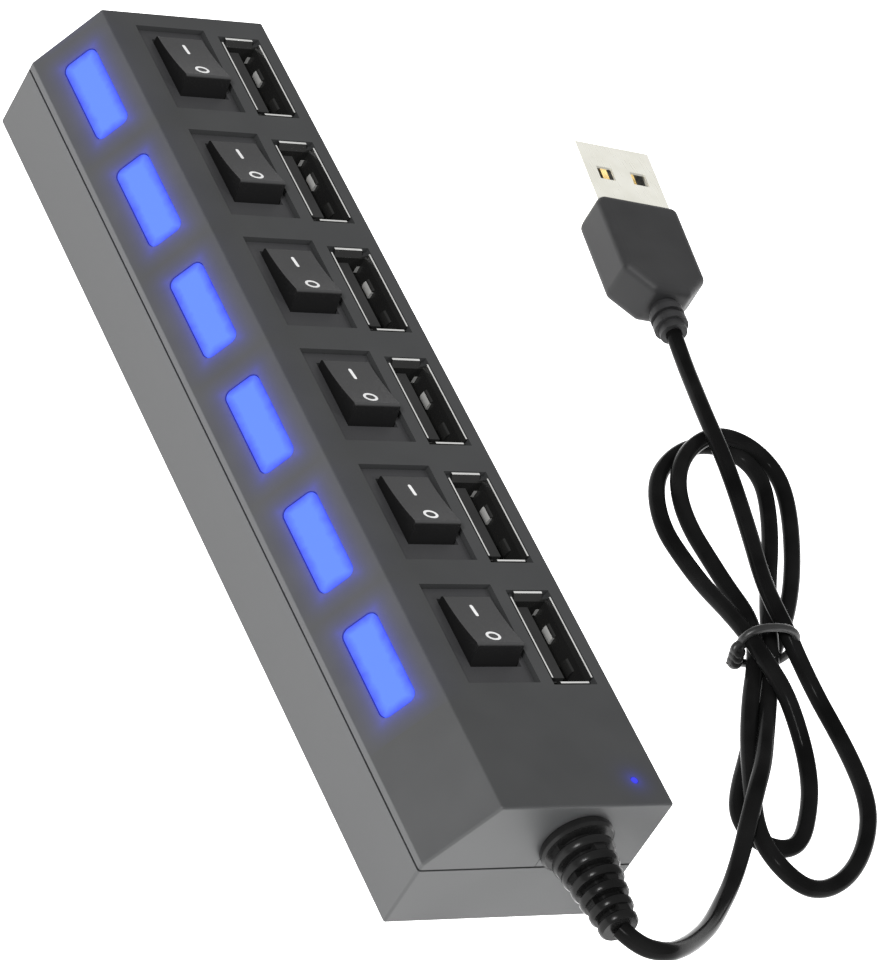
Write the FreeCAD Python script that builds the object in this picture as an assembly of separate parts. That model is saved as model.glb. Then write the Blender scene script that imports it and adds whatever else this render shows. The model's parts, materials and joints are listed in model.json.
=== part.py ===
import FreeCAD, Part
import math
import os

V = FreeCAD.Vector

# ---------------------------------------------------------------- driving dimensions (mm)
# Frame: origin at the middle of the case's underside, +Y along the case away from the cord,
# -X the chamfered side, +Z up.
CASE_W = 30.4
CASE_L = 132.6
CASE_H = 20.4
CHAMFER_X = 5.9
CHAMFER_Z = 9.9
PARTING_Z = 9.6
WALL = 2.0
EDGE_R = 0.35
PARTING_GROOVE = 0.3
GAP = 0.15

PORTS = 6
PITCH = 19.2
FIRST_PORT_Y = -40.6

BOARD_Z = 4.0
BOARD_T = 1.2
BOARD_TOP = BOARD_Z + BOARD_T

SOCKET_X = 10.0
SOCKET_W = 5.7
SOCKET_L = 13.2
SOCKET_WALL = 0.3
LIP_W = 5.9
LIP_L = 14.4
LIP_T = 0.6
LIP_NOTCH = 0.9
LIP_GAP = 0.2
FLARE_X = 0.22
FLARE_Y = 0.65
FLARE_T = 0.8
SPRING_Y = 2.75
SPRING_W = 2.0
SPRING_Z = 17.6
SPRING_R = 1.4
SPRING_REACH = 0.4
TONGUE_T = 1.84
TONGUE_L = 11.1
TONGUE_SIDE = 0.45
TONGUE_TOP_GAP = 1.0

SWITCH_X = -0.1
SWITCH_W = 10.0
SWITCH_L = 15.0
SWITCH_OFFSET_Y = 0.6
SWITCH_SUNK = 0.7
SWITCH_TOP = CASE_H - SWITCH_SUNK
SWITCH_BOTTOM = 8.0
SWITCH_FLOOR = 1.0
APERTURE_W = 7.3
APERTURE_L = 10.55

ROCKER_X = SWITCH_X + 0.55
ROCKER_OFFSET_Y = SWITCH_OFFSET_Y + 0.65
PIVOT_Z = 18.5
ROCKER_W = 6.7
ROCKER_L = 9.3
ROCKER_FOOT_L = 9.9
ROCKER_FOOT = -1.2
ROCKER_TOP = 3.0
ROCKER_DISH = 0.25
ROCKER_WALL = 1.2
ROCKER_HOLLOW = 1.4
ROCKER_EDGE_R = 0.4
ROCKER_TILT = 10.5
PIN_R = 0.8
PIN_CLEARANCE = 0.05
PIN_IN = 0.55
PIN_END_GAP = 0.15
STEM_R = 1.5
STEM_TOP = 1.8
STEM_DEPTH = 2.6
PLUNGER_R = 0.8
PLUNGER_REACH = 4.4
PLUNGER_BORE = 1.5
LEVER_Z = PIVOT_Z - 5.1
LEVER_L = 9.0
LEVER_W = 4.0
LEVER_T = 0.4
LEVER_TILT = 6.0
LEVER_ROLL_R = 0.6
PAD_R = 0.7
PAD_Y = 3.6
SADDLE_CLEARANCE = 0.05
SADDLE_L = 2.0
BLADE_W = 4.4
BLADE_T = 0.8
BLADE_PITCH = 4.0
SIDE_BLADE_DOWN = 0.85

WINDOW_L = 13.6
WINDOW_LOW = 0.28
WINDOW_HIGH = 0.73
WINDOW_R = 1.2
GUIDE_T = 1.0
GUIDE_LAP = 0.3

LED_X = 11.2
LED_Y = -62.6
LED_R = 0.45

SCREWS = [(-6.5, -57.0), (10.0, -54.0), (-5.9, 46.4), (9.9, 45.8)]
SCREW_R = 0.95
SCREW_HEAD_R = 1.9
SCREW_HEAD_T = 1.2
SCREW_TIP_Z = 13.0
BOSS_R = 2.0
TAB_T = 0.8
TAB_W = 3.6
TAB_UP = 1.0
END_TAB_X = (5.4, 11.5)
PILOT_R = 1.0

CORD_D = 2.3
BOOT_X = 4.3
BOOT_Z = 14.2
BOOT_L = 13.0
BOOT_FLANGE_R = 4.6
BOOT_INNER_R = 4.0
BOOT_NECK_R = 3.2
BOOT_RINGS = 6

HANK_LOW = 0.1
HANK_HIGH = 5.6
HANK_R = 4.0
TIE_MIDDLE = V(59.9, -27.2, 0)
TIE_OUT = 13.4
TIE_W = 2.4
TIE_T = 0.8

PLUG_TIP = V(79.5, 63.4, 3.48)
PLUG_HEADING = 8.8
PLUG_SHELL_W = 12.0
PLUG_SHELL_T = 4.5
PLUG_SHELL_OUT = 11.75
PLUG_SHELL_IN = 4.0
PLUG_SKIN = 0.35
PLUG_HOLE = 2.5
PLUG_HOLE_X = 2.75
PLUG_HOLE_BACK = 4.7
PLUG_TONGUE_T = 1.8
PLUG_BODY_W = 13.1
PLUG_BODY_T = 6.9
PLUG_BODY_L = 18.2
PLUG_BODY_R = 1.3
PLUG_TAPER_L = 3.9
PLUG_TAPER_W = 3.7
PLUG_NECK_R = 1.9
PLUG_COLLAR_R = 2.4
PLUG_NECK_L = 5.0

HALF_W = CASE_W / 2
HALF_L = CASE_L / 2
CHAMFER_LOW = V(-HALF_W, 0, CASE_H - CHAMFER_Z)
CHAMFER_LEN = math.hypot(CHAMFER_X, CHAMFER_Z)
CHAMFER_UP = V(CHAMFER_X, 0, CHAMFER_Z) * (1 / CHAMFER_LEN)
CHAMFER_IN = V(CHAMFER_Z, 0, -CHAMFER_X) * (1 / CHAMFER_LEN)

# Route of the cord: lead from the strain relief to the hank, and tail from the hank to the plug.
LEAD_ROUTE = [
    V(BOOT_X, -HALF_L - BOOT_L, BOOT_Z),
    V(6.4, -83.4, 15.2),
    V(12.5, -85.2, 16.4),
    V(20.0, -77.6, 14.0),
    V(29.0, -69.0, 6.6),
    V(39.5, -60.0, 1.7),
    V(44.5, -54.8, 1.3),
]
TAIL_ROUTE = [
    V(68.8, 5.5, 4.6),
    V(69.2, 12.5, 5.8),
    V(71.3, 19.4, 4.4),
]
TAIL_STRAIGHT = 4.5

# Outline of the tied hank: two rounded lobes and a waist, going round anticlockwise.
HANK_OUTLINE = [
    (54.6, -27.0), (49.2, -39.6), (43.2, -51.6), (41.2, -63.4), (45.0, -66.8), (54.2, -65.6),
    (62.0, -59.4), (66.8, -50.4), (67.8, -36.0), (65.0, -29.4), (64.8, -26.0), (75.0, -13.4),
    (81.4, 0.0), (82.2, 8.4), (75.6, 11.6), (67.6, 11.2), (58.4, 5.0), (54.6, -4.4),
    (56.2, -15.0),
]


def box(x0, x1, y0, y1, z0, z1):
    return Part.makeBox(x1 - x0, y1 - y0, z1 - z0, V(x0, y0, z0))


def centred_box(x, y, width, length, z0, z1):
    return box(x - width / 2, x + width / 2, y - length / 2, y + length / 2, z0, z1)


def rod(start, end, radius):
    axis = end - start
    return Part.makeCylinder(radius, axis.Length, start, axis)


def prism_along_y(points, y0, y1):
    """Solid whose cross-section in X and Z is the polygon through the points."""
    corners = [V(x, y0, z) for x, z in points]
    face = Part.Face(Part.makePolygon(corners + corners[:1]))
    return face.extrude(V(0, y1 - y0, 0))


def rounded_slab(points, z0, z1, radius):
    """Flat solid on a polygon, with its upright edges rounded."""
    corners = [V(x, y, z0) for x, y in points]
    face = Part.Face(Part.makePolygon(corners + corners[:1]))
    solid = face.extrude(V(0, 0, z1 - z0))
    upright = [edge for edge in solid.Edges if abs(edge.Vertexes[0].Z - edge.Vertexes[1].Z) > 0.5]
    return solid.makeFillet(radius, upright)


def turned(profile, origin, axis):
    """Solid of revolution: profile holds (distance along the axis, radius) pairs."""
    side = V(0, 0, 1).cross(axis)
    points = [origin + axis * along + side * radius for along, radius in profile]
    ends = [origin + axis * profile[0][0], origin + axis * profile[-1][0]]
    outline = [ends[0]] + points + [ends[1], ends[0]]
    face = Part.Face(Part.makePolygon(outline))
    return face.revolve(origin, axis, 360)


def one(shape):
    solid = shape.removeSplitter()
    return solid.Solids[0] if len(solid.Solids) == 1 else solid


def tube(points, diameter, label):
    """Round tube along straight runs joined by the largest tangent arcs that they allow."""
    pieces = []
    start = points[0]
    smallest = None
    for index in range(1, len(points) - 1):
        corner = points[index]
        back = points[index - 1] - corner
        ahead = points[index + 1] - corner
        turn = math.pi - back.getAngle(ahead)
        reach = 0.45 * min(back.Length, ahead.Length)
        radius = reach / math.tan(turn / 2)
        smallest = radius if smallest is None else min(smallest, radius)
        back.normalize()
        ahead.normalize()
        enter = corner + back * reach
        leave = corner + ahead * reach
        bisector = back + ahead
        bisector.normalize()
        centre = corner + bisector * (radius / math.cos(turn / 2))
        to_corner = corner - centre
        to_corner.normalize()
        pieces.append(Part.LineSegment(start, enter).toShape())
        pieces.append(Part.Arc(enter, centre + to_corner * radius, leave).toShape())
        start = leave
    pieces.append(Part.LineSegment(start, points[-1]).toShape())
    path = Part.Wire(pieces)
    first = points[1] - points[0]
    ring = Part.Wire(Part.makeCircle(diameter / 2, points[0], first))
    solid = path.makePipeShell([ring], True, False)
    expected = math.pi * diameter ** 2 / 4 * path.Length
    if smallest is not None:
        print("%s length %.1f smallest radius %.1f volume ratio %.4f"
              % (label, path.Length, smallest, solid.Volume / expected))
    return solid


def port_positions():
    return [FIRST_PORT_Y + PITCH * index for index in range(PORTS)]


def between_ports(index):
    return FIRST_PORT_Y + PITCH * (index + 0.5)


def chamfer_point(up, depth):
    point = CHAMFER_LOW + CHAMFER_UP * up + CHAMFER_IN * depth
    return (point.x, point.z)


def chamfer_bar(low, high, outer, inner, y0, y1):
    """Bar parallel to the chamfer, between two distances up it and two depths below it."""
    corners = [(low, outer), (high, outer), (high, inner), (low, inner)]
    return prism_along_y([chamfer_point(up, depth) for up, depth in corners], y0, y1)


def window_block(y, outer, inner, shrink):
    """Block in the shape of a window, through the chamfer, with rounded corners."""
    half = WINDOW_L / 2 - shrink
    block = chamfer_bar(WINDOW_LOW * CHAMFER_LEN + shrink, WINDOW_HIGH * CHAMFER_LEN - shrink,
                        outer, inner, y - half, y + half)
    through = []
    for edge in block.Edges:
        run = edge.Vertexes[1].Point - edge.Vertexes[0].Point
        if abs(run.y) < 0.01 and abs(run.dot(CHAMFER_UP)) < 0.01:
            through.append(edge)
    return block.makeFillet(WINDOW_R - shrink, through)


def rounded_edges(solid, skip_z):
    """Rounds every edge except those that lie on the parting plane."""
    edges = []
    for edge in solid.Edges:
        if min(abs(vertex.Z - skip_z) for vertex in edge.Vertexes) > 0.01:
            edges.append(edge)
        elif max(abs(vertex.Z - skip_z) for vertex in edge.Vertexes) > 0.01:
            edges.append(edge)
    return solid.makeFillet(EDGE_R, edges)


# ---------------------------------------------------------------- case
def top_cover():
    outline = [(-HALF_W, PARTING_Z), (-HALF_W, CHAMFER_LOW.z), (-HALF_W + CHAMFER_X, CASE_H),
               (HALF_W, CASE_H), (HALF_W, PARTING_Z)]
    solid = rounded_edges(prism_along_y(outline, -HALF_L, HALF_L), PARTING_Z)
    inner_side = -HALF_W + WALL
    low_up = (inner_side - chamfer_point(0, WALL)[0]) / CHAMFER_UP.x
    inner_low = chamfer_point(low_up, WALL)
    ceiling = CASE_H - WALL
    top_up = (ceiling - chamfer_point(0, WALL)[1]) / CHAMFER_UP.z
    inner_top = chamfer_point(top_up, WALL)
    inside = [(inner_side, PARTING_Z - 1), inner_low, inner_top, (HALF_W - WALL, ceiling),
              (HALF_W - WALL, PARTING_Z - 1)]
    solid = solid.cut(prism_along_y(inside, -HALF_L + WALL, HALF_L - WALL))
    bosses = []
    for x, y in SCREWS:
        bosses.append(rod(V(x, y, BOARD_TOP), V(x, y, ceiling + 0.5), BOSS_R))
    solid = solid.fuse(bosses)
    cuts = []
    for x, y in SCREWS:
        cuts.append(rod(V(x, y, BOARD_TOP - 1), V(x, y, SCREW_TIP_Z + 1), PILOT_R))
    for y in port_positions():
        switch_y = y + SWITCH_OFFSET_Y
        cuts.append(centred_box(SWITCH_X, switch_y, SWITCH_W + 2 * GAP, SWITCH_L + 2 * GAP,
                                ceiling - 1, CASE_H + 1))
        cuts.append(centred_box(SOCKET_X, y, SOCKET_W + 2 * GAP, SOCKET_L + 2 * GAP,
                                ceiling - 1, CASE_H + 1))
        cuts.append(centred_box(SOCKET_X, y, LIP_W + 2 * LIP_GAP, LIP_L + 2 * LIP_GAP,
                                CASE_H - LIP_T - LIP_GAP, CASE_H + 1))
        cuts.append(window_block(y, -1, WALL + 1, 0))
    cuts.append(rod(V(LED_X, LED_Y, ceiling - 1), V(LED_X, LED_Y, CASE_H + 1), LED_R + GAP / 2))
    slot_y = (-HALF_L - 1, -HALF_L + WALL + 1)
    neck = BOOT_NECK_R + GAP / 2
    cuts.append(box(BOOT_X - neck, BOOT_X + neck, slot_y[0], slot_y[1], PARTING_Z - 1, BOOT_Z))
    cuts.append(boot_bore())
    return one(solid.cut(cuts))


def boot_bore():
    """Round hole through the end wall for the neck of the strain relief."""
    return rod(V(BOOT_X, -HALF_L - 1, BOOT_Z), V(BOOT_X, -HALF_L + WALL + 1, BOOT_Z),
               BOOT_NECK_R + GAP / 2)


def bottom_cover():
    solid = box(-HALF_W, HALF_W, -HALF_L, HALF_L, 0, PARTING_Z)
    solid = rounded_edges(solid, PARTING_Z)
    solid = solid.cut(box(-HALF_W + WALL, HALF_W - WALL, -HALF_L + WALL, HALF_L - WALL,
                          WALL, PARTING_Z + 1))
    low = WALL - 0.5
    lip_x = HALF_W - WALL - GAP
    tabs = []
    for index in range(PORTS - 1):
        y0 = between_ports(index) - TAB_W / 2
        y1 = between_ports(index) + TAB_W / 2
        tabs.append(box(lip_x - TAB_T, lip_x, y0, y1, low, PARTING_Z + TAB_UP))
        tabs.append(box(lip_x - TAB_T, HALF_W - WALL + 0.5, y0, y1, low, PARTING_Z - 0.5))
    end_y = HALF_L - WALL - GAP
    x0, x1 = END_TAB_X
    tabs.append(box(x0, x1, end_y - TAB_T, end_y, low, PARTING_Z + TAB_UP))
    tabs.append(box(x0, x1, end_y - TAB_T, HALF_L - WALL + 0.5, low, PARTING_Z - 0.5))
    posts = [rod(V(x, y, low), V(x, y, BOARD_Z), BOSS_R) for x, y in SCREWS]
    upstand = box(BOOT_X - BOOT_NECK_R, BOOT_X + BOOT_NECK_R, -HALF_L, -HALF_L + WALL,
                  PARTING_Z - 1, BOOT_Z)
    solid = solid.fuse(tabs + posts + [upstand])
    ring = centred_box(0, 0, CASE_W + 2, CASE_L + 2, PARTING_Z - PARTING_GROOVE, PARTING_Z)
    ring = ring.cut(centred_box(0, 0, CASE_W - 2 * PARTING_GROOVE, CASE_L - 2 * PARTING_GROOVE,
                                PARTING_Z - 1, PARTING_Z + 1))
    cuts = [ring, boot_bore()]
    for x, y in SCREWS:
        cuts.append(rod(V(x, y, -1), V(x, y, BOARD_Z + 1), PILOT_R))
        cuts.append(rod(V(x, y, -1), V(x, y, SCREW_HEAD_T + 0.2), SCREW_HEAD_R + GAP))
    return one(solid.cut(cuts))


def case_screws():
    screws = []
    for x, y in SCREWS:
        head_z = SCREW_HEAD_T + 0.2
        head = rod(V(x, y, 0.2), V(x, y, head_z), SCREW_HEAD_R)
        shank = rod(V(x, y, head_z - 0.3), V(x, y, SCREW_TIP_Z), SCREW_R)
        screw = head.fuse(shank)
        for angle in (0, 90):
            cross = centred_box(x, y, 2.2, 0.5, 0, 0.8)
            cross.rotate(V(x, y, 0), V(0, 0, 1), angle)
            screw = screw.cut(cross)
        screws.append(one(screw))
    return Part.makeCompound(screws)


def main_board():
    board = centred_box(0, 0, CASE_W - 2 * WALL - 2.6, CASE_L - 2 * WALL - 2.4, BOARD_Z, BOARD_TOP)
    holes = [rod(V(x, y, BOARD_Z - 1), V(x, y, BOARD_TOP + 1), PILOT_R) for x, y in SCREWS]
    return one(board.cut(holes))


# ---------------------------------------------------------------- sockets
def level_rectangle(y, width, length, z):
    x0 = SOCKET_X - width / 2
    x1 = SOCKET_X + width / 2
    y0 = y - length / 2
    y1 = y + length / 2
    return Part.makePolygon([V(x0, y0, z), V(x1, y0, z), V(x1, y1, z), V(x0, y1, z), V(x0, y0, z)])


def usb_shell(y):
    """Socket shell with four flared flaps round its mouth and two springs in its far wall."""
    lip_z = CASE_H - LIP_T
    inner_w = SOCKET_W - 2 * SOCKET_WALL
    inner_l = SOCKET_L - 2 * SOCKET_WALL
    outer = centred_box(SOCKET_X, y, SOCKET_W, SOCKET_L, BOARD_TOP, lip_z)
    flaps = [centred_box(SOCKET_X, y, LIP_W - 2 * LIP_NOTCH, LIP_L, lip_z, CASE_H),
             centred_box(SOCKET_X, y, LIP_W, LIP_L - 2 * LIP_NOTCH, lip_z, CASE_H)]
    inner = centred_box(SOCKET_X, y, inner_w, inner_l, BOARD_TOP + SOCKET_WALL, CASE_H + 1)
    narrow = level_rectangle(y, inner_w, inner_l, CASE_H - FLARE_T)
    wide = level_rectangle(y, inner_w + 2 * FLARE_X, inner_l + 2 * FLARE_Y, CASE_H)
    mouth = Part.makeLoft([narrow, wide], True)
    shell = outer.fuse(flaps).cut([inner, mouth])
    spring_x = SOCKET_X + inner_w / 2 + SPRING_R - SPRING_REACH
    springs = []
    for side in (-1, 1):
        middle = y + side * SPRING_Y
        bump = rod(V(spring_x, middle - SPRING_W / 2, SPRING_Z),
                   V(spring_x, middle + SPRING_W / 2, SPRING_Z), SPRING_R)
        springs.append(bump.common(outer))
    return one(shell.fuse(springs))


def usb_tongue(y):
    cavity_x = SOCKET_W - 2 * SOCKET_WALL
    cavity_y = SOCKET_L - 2 * SOCKET_WALL
    floor_z = BOARD_TOP + SOCKET_WALL
    base = centred_box(SOCKET_X, y, cavity_x, cavity_y, floor_z, floor_z + 3)
    side = SOCKET_X - cavity_x / 2 + TONGUE_SIDE
    tongue = box(side, side + TONGUE_T, y - TONGUE_L / 2, y + TONGUE_L / 2,
                 floor_z + 2, CASE_H - TONGUE_TOP_GAP)
    return one(base.fuse(tongue))


def usb_contacts():
    strips = []
    face = SOCKET_X - SOCKET_W / 2 + SOCKET_WALL + TONGUE_SIDE + TONGUE_T
    for y in port_positions():
        for offset in (-3.5, -1.0, 1.0, 3.5):
            strips.append(box(face, face + 0.25, y + offset - 0.5, y + offset + 0.5,
                              BOARD_TOP + SOCKET_WALL + 3, CASE_H - TONGUE_TOP_GAP - 1.0))
    return Part.makeCompound(strips)


# ---------------------------------------------------------------- switches
def switch_housing(port_y):
    y = port_y + ROCKER_OFFSET_Y
    solid = centred_box(SWITCH_X, port_y + SWITCH_OFFSET_Y, SWITCH_W, SWITCH_L, SWITCH_BOTTOM,
                        SWITCH_TOP)
    inside = centred_box(ROCKER_X, y, APERTURE_W, APERTURE_L, SWITCH_BOTTOM + SWITCH_FLOOR,
                         SWITCH_TOP + 1)
    reach = APERTURE_W / 2 + PIN_IN + PIN_END_GAP
    bore = rod(V(ROCKER_X - reach, y, PIVOT_Z), V(ROCKER_X + reach, y, PIVOT_Z),
               PIN_R + PIN_CLEARANCE)
    slots = [terminal_blade(y, offset, SWITCH_BOTTOM - 1, SWITCH_BOTTOM + SWITCH_FLOOR + 1)
             for offset in (-BLADE_PITCH, 0, BLADE_PITCH)]
    return one(solid.cut([inside, bore] + slots))


def terminal_blade(y, offset, z0, z1):
    return centred_box(ROCKER_X, y + offset, BLADE_W, BLADE_T, z0, z1)


def switch_terminals():
    blades = []
    floor_z = SWITCH_BOTTOM + SWITCH_FLOOR
    for port_y in port_positions():
        y = port_y + ROCKER_OFFSET_Y
        saddle = centred_box(ROCKER_X, y, BLADE_W, SADDLE_L, floor_z, LEVER_Z - 0.25)
        centre = terminal_blade(y, 0, BOARD_TOP, floor_z).fuse(saddle)
        groove = rod(V(ROCKER_X - BLADE_W, y, LEVER_Z), V(ROCKER_X + BLADE_W, y, LEVER_Z),
                     LEVER_ROLL_R + SADDLE_CLEARANCE)
        blades.append(one(centre.cut(groove)))
        for offset in (-BLADE_PITCH, BLADE_PITCH):
            blades.append(terminal_blade(y, offset, BOARD_TOP, LEVER_Z - SIDE_BLADE_DOWN))
    return Part.makeCompound(blades)


def tilted(shape, y, z, degrees):
    shape.rotate(V(ROCKER_X, y, z), V(1, 0, 0), degrees)
    return shape


def rocker_profile():
    """Side outline of the rocker about its pivot, from foot to foot over the dished top."""
    half = ROCKER_L / 2
    foot_near = V(0, -ROCKER_FOOT_L / 2, ROCKER_FOOT)
    foot_far = V(0, ROCKER_FOOT_L / 2, ROCKER_FOOT)
    top_far = V(0, half, ROCKER_TOP)
    top_near = V(0, -half, ROCKER_TOP)
    dish = Part.Arc(top_far, V(0, 0, ROCKER_TOP - ROCKER_DISH), top_near).toShape()
    far = Part.LineSegment(foot_far, top_far).toShape()
    near = Part.LineSegment(top_near, foot_near).toShape()
    under = Part.LineSegment(foot_near, foot_far).toShape()
    return Part.Face(Part.Wire([far, dish, near, under]))


def rocker(port_y):
    y = port_y + ROCKER_OFFSET_Y
    face = rocker_profile()
    face.translate(V(ROCKER_X - ROCKER_W / 2, y, PIVOT_Z))
    body = face.extrude(V(ROCKER_W, 0, 0))
    ends = [edge for edge in body.Edges
            if all(vertex.Z > PIVOT_Z + ROCKER_TOP - 0.1 for vertex in edge.Vertexes)
            and abs(edge.Vertexes[0].X - edge.Vertexes[1].X) > 1]
    body = body.makeFillet(ROCKER_EDGE_R, ends)
    hollow = centred_box(ROCKER_X, y, ROCKER_W - 2 * ROCKER_WALL, ROCKER_L - 2 * ROCKER_WALL,
                         PIVOT_Z + ROCKER_FOOT - 1, PIVOT_Z + ROCKER_HOLLOW)
    body = body.cut(hollow)
    pin_start = ROCKER_W / 2 - ROCKER_WALL / 2
    pin_end = APERTURE_W / 2 + PIN_IN
    pins = [rod(V(ROCKER_X + side * pin_start, y, PIVOT_Z), V(ROCKER_X + side * pin_end, y, PIVOT_Z),
                PIN_R) for side in (-1, 1)]
    stem = rod(V(ROCKER_X, y, PIVOT_Z - STEM_DEPTH), V(ROCKER_X, y, PIVOT_Z + STEM_TOP), STEM_R)
    body = body.fuse(pins + [stem])
    bore = rod(V(ROCKER_X, y, PIVOT_Z - STEM_DEPTH - 1), V(ROCKER_X, y, PIVOT_Z + PLUNGER_BORE),
               PLUNGER_R)
    return tilted(one(body.cut(bore)), y, PIVOT_Z, -ROCKER_TILT)


def rocker_plunger(port_y):
    y = port_y + ROCKER_OFFSET_Y
    tip = V(ROCKER_X, y, PIVOT_Z - PLUNGER_REACH + PLUNGER_R)
    shank = rod(tip, V(ROCKER_X, y, PIVOT_Z + PLUNGER_BORE - 0.3), PLUNGER_R)
    nose = Part.makeSphere(PLUNGER_R, tip)
    return tilted(one(shank.fuse(nose)), y, PIVOT_Z, -ROCKER_TILT)


def switch_lever(port_y):
    """Rocking contact: a strip with a round roll under its middle and a pad under each end."""
    y = port_y + ROCKER_OFFSET_Y
    half_w = LEVER_W / 2
    strip = centred_box(ROCKER_X, y, LEVER_W, LEVER_L, LEVER_Z, LEVER_Z + LEVER_T)
    roll = rod(V(ROCKER_X - half_w, y, LEVER_Z), V(ROCKER_X + half_w, y, LEVER_Z), LEVER_ROLL_R)
    roll = roll.common(centred_box(ROCKER_X, y, LEVER_W, 4 * LEVER_ROLL_R, LEVER_Z - 2,
                                   LEVER_Z + LEVER_T / 2))
    pads = [rod(V(ROCKER_X, y + offset, LEVER_Z - 0.25), V(ROCKER_X, y + offset, LEVER_Z + 0.1),
                PAD_R) for offset in (-PAD_Y, PAD_Y)]
    return tilted(one(strip.fuse([roll] + pads)), y, LEVER_Z, LEVER_TILT)


# ---------------------------------------------------------------- lights and board parts
def light_guide():
    low = WINDOW_LOW * CHAMFER_LEN
    high = WINDOW_HIGH * CHAMFER_LEN
    first = port_positions()[0]
    last = port_positions()[-1]
    half = WINDOW_L / 2 + GUIDE_LAP
    bar = chamfer_bar(low - GUIDE_LAP, high + GUIDE_LAP, WALL, WALL + GUIDE_T, first - half,
                      last + half)
    pads = [window_block(y, 0.1, WALL + 0.5, GAP) for y in port_positions()]
    return one(bar.fuse(pads))


def status_leds():
    lights = [centred_box(-10.0, y, 1.6, 3.2, BOARD_TOP, BOARD_TOP + 1.2) for y in port_positions()]
    lights.append(centred_box(LED_X, LED_Y, 1.6, 1.6, BOARD_TOP, BOARD_TOP + 1.0))
    return Part.makeCompound(lights)


def power_led_lens():
    pipe = rod(V(LED_X, LED_Y, BOARD_TOP + 1.2), V(LED_X, LED_Y, CASE_H), LED_R)
    collar = rod(V(LED_X, LED_Y, CASE_H - WALL - 0.8), V(LED_X, LED_Y, CASE_H - WALL), LED_R + 0.4)
    return one(pipe.fuse(collar))


def hub_chips():
    chips = []
    for index in (0, 3):
        y = between_ports(index)
        body = centred_box(-8.9, y, 3.9, 9.9, BOARD_TOP + 0.1, BOARD_TOP + 1.6)
        legs = []
        for count in range(8):
            leg_y = y - 4.45 + 1.27 * count
            legs.append(centred_box(-8.9, leg_y, 5.6, 0.4, BOARD_TOP, BOARD_TOP + 0.3))
        chips.append(one(body.fuse(legs)))
    return Part.makeCompound(chips)


def capacitors():
    cans = []
    for x, y in ((-9.2, between_ports(1)), (-9.2, between_ports(2)), (-9.6, -52.0)):
        can = rod(V(x, y, BOARD_TOP), V(x, y, BOARD_TOP + 5.4), 2.0)
        cans.append(can)
    return Part.makeCompound(cans)


def crystal():
    y = -51.2
    bar = centred_box(0, y, 6.2, 4.2, BOARD_TOP, BOARD_TOP + 3.4)
    ends = [rod(V(side * 3.1, y, BOARD_TOP), V(side * 3.1, y, BOARD_TOP + 3.4), 2.1)
            for side in (-1, 1)]
    return one(bar.fuse(ends))


def wire_leads():
    wires = []
    start_y = -HALF_L + WALL + 1.4
    for count, offset in enumerate((-1.8, -0.6, 0.6, 1.8)):
        x = BOOT_X + offset
        end_x = BOOT_X + 1.8 * offset - 1.0
        points = [V(x, start_y, BOOT_Z), V(x, start_y + 3.5, BOOT_Z - 0.5),
                  V(end_x, start_y + 5.5, BOARD_TOP + 4.5), V(end_x, start_y + 5.5, BOARD_TOP)]
        wires.append(tube(points, 0.9, "inner wire %d" % count))
    return Part.makeCompound(wires)


# ---------------------------------------------------------------- cord, strain relief and plug
def strain_relief():
    """Boot along -Y: flange inside the wall, neck in the slot, outer flange, ribbed cone."""
    inner = WALL + 1.2
    profile = [(-inner, BOOT_INNER_R), (-WALL - 0.05, BOOT_INNER_R),
               (-WALL - 0.05, BOOT_NECK_R), (0, BOOT_NECK_R), (0, BOOT_FLANGE_R),
               (1.2, BOOT_FLANGE_R - 0.1)]
    ring_pitch = (BOOT_L - 1.2) / BOOT_RINGS
    for ring in range(BOOT_RINGS):
        start = 1.2 + ring * ring_pitch
        outer = 3.9 - 0.26 * ring
        core = 2.9 - 0.16 * ring
        profile += [(start + 0.05, core), (start + 0.8, core), (start + 0.9, outer),
                    (start + ring_pitch, outer - 0.15)]
    return turned(profile, V(BOOT_X, -HALF_L, BOOT_Z), V(0, -1, 0))


def cord_hank():
    return rounded_slab(HANK_OUTLINE, HANK_LOW, HANK_HIGH, HANK_R)


def cord_tie():
    half = TIE_OUT / 2
    band = box(-half, half, -TIE_W / 2, TIE_W / 2, 0.02, HANK_HIGH + TIE_T)
    band = band.makeFillet(0.5, band.Edges)
    core = box(-half + TIE_T, half - TIE_T, -TIE_W, TIE_W, HANK_LOW, HANK_HIGH)
    band = band.cut(core)
    band.translate(TIE_MIDDLE)
    return band


def plug_placement():
    return FreeCAD.Placement(PLUG_TIP, FreeCAD.Rotation(V(0, 0, 1), -PLUG_HEADING))


def on_plug(shape):
    shape.Placement = plug_placement().multiply(shape.Placement)
    return shape


def plug_point(back):
    """Point on the plug's own axis, a distance behind its tip."""
    return plug_placement().multVec(V(0, -back, 0))


def plug_shell():
    half_w = PLUG_SHELL_W / 2
    half_t = PLUG_SHELL_T / 2
    root = -PLUG_SHELL_OUT - PLUG_SHELL_IN
    solid = box(-half_w, half_w, root, 0, -half_t, half_t)
    inside = box(-half_w + PLUG_SKIN, half_w - PLUG_SKIN, root - 1, 1, -half_t + PLUG_SKIN,
                 half_t - PLUG_SKIN)
    cuts = [inside]
    for x in (-PLUG_HOLE_X, PLUG_HOLE_X):
        cuts.append(box(x - PLUG_HOLE / 2, x + PLUG_HOLE / 2, -PLUG_HOLE_BACK - PLUG_HOLE,
                        -PLUG_HOLE_BACK, -half_t - 1, half_t + 1))
    return one(solid.cut(cuts))


def plug_tongue():
    half_w = PLUG_SHELL_W / 2 - PLUG_SKIN
    low = -PLUG_SHELL_T / 2 + PLUG_SKIN
    return box(-half_w, half_w, -PLUG_SHELL_OUT - PLUG_SHELL_IN, -0.6, low, low + PLUG_TONGUE_T)


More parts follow.
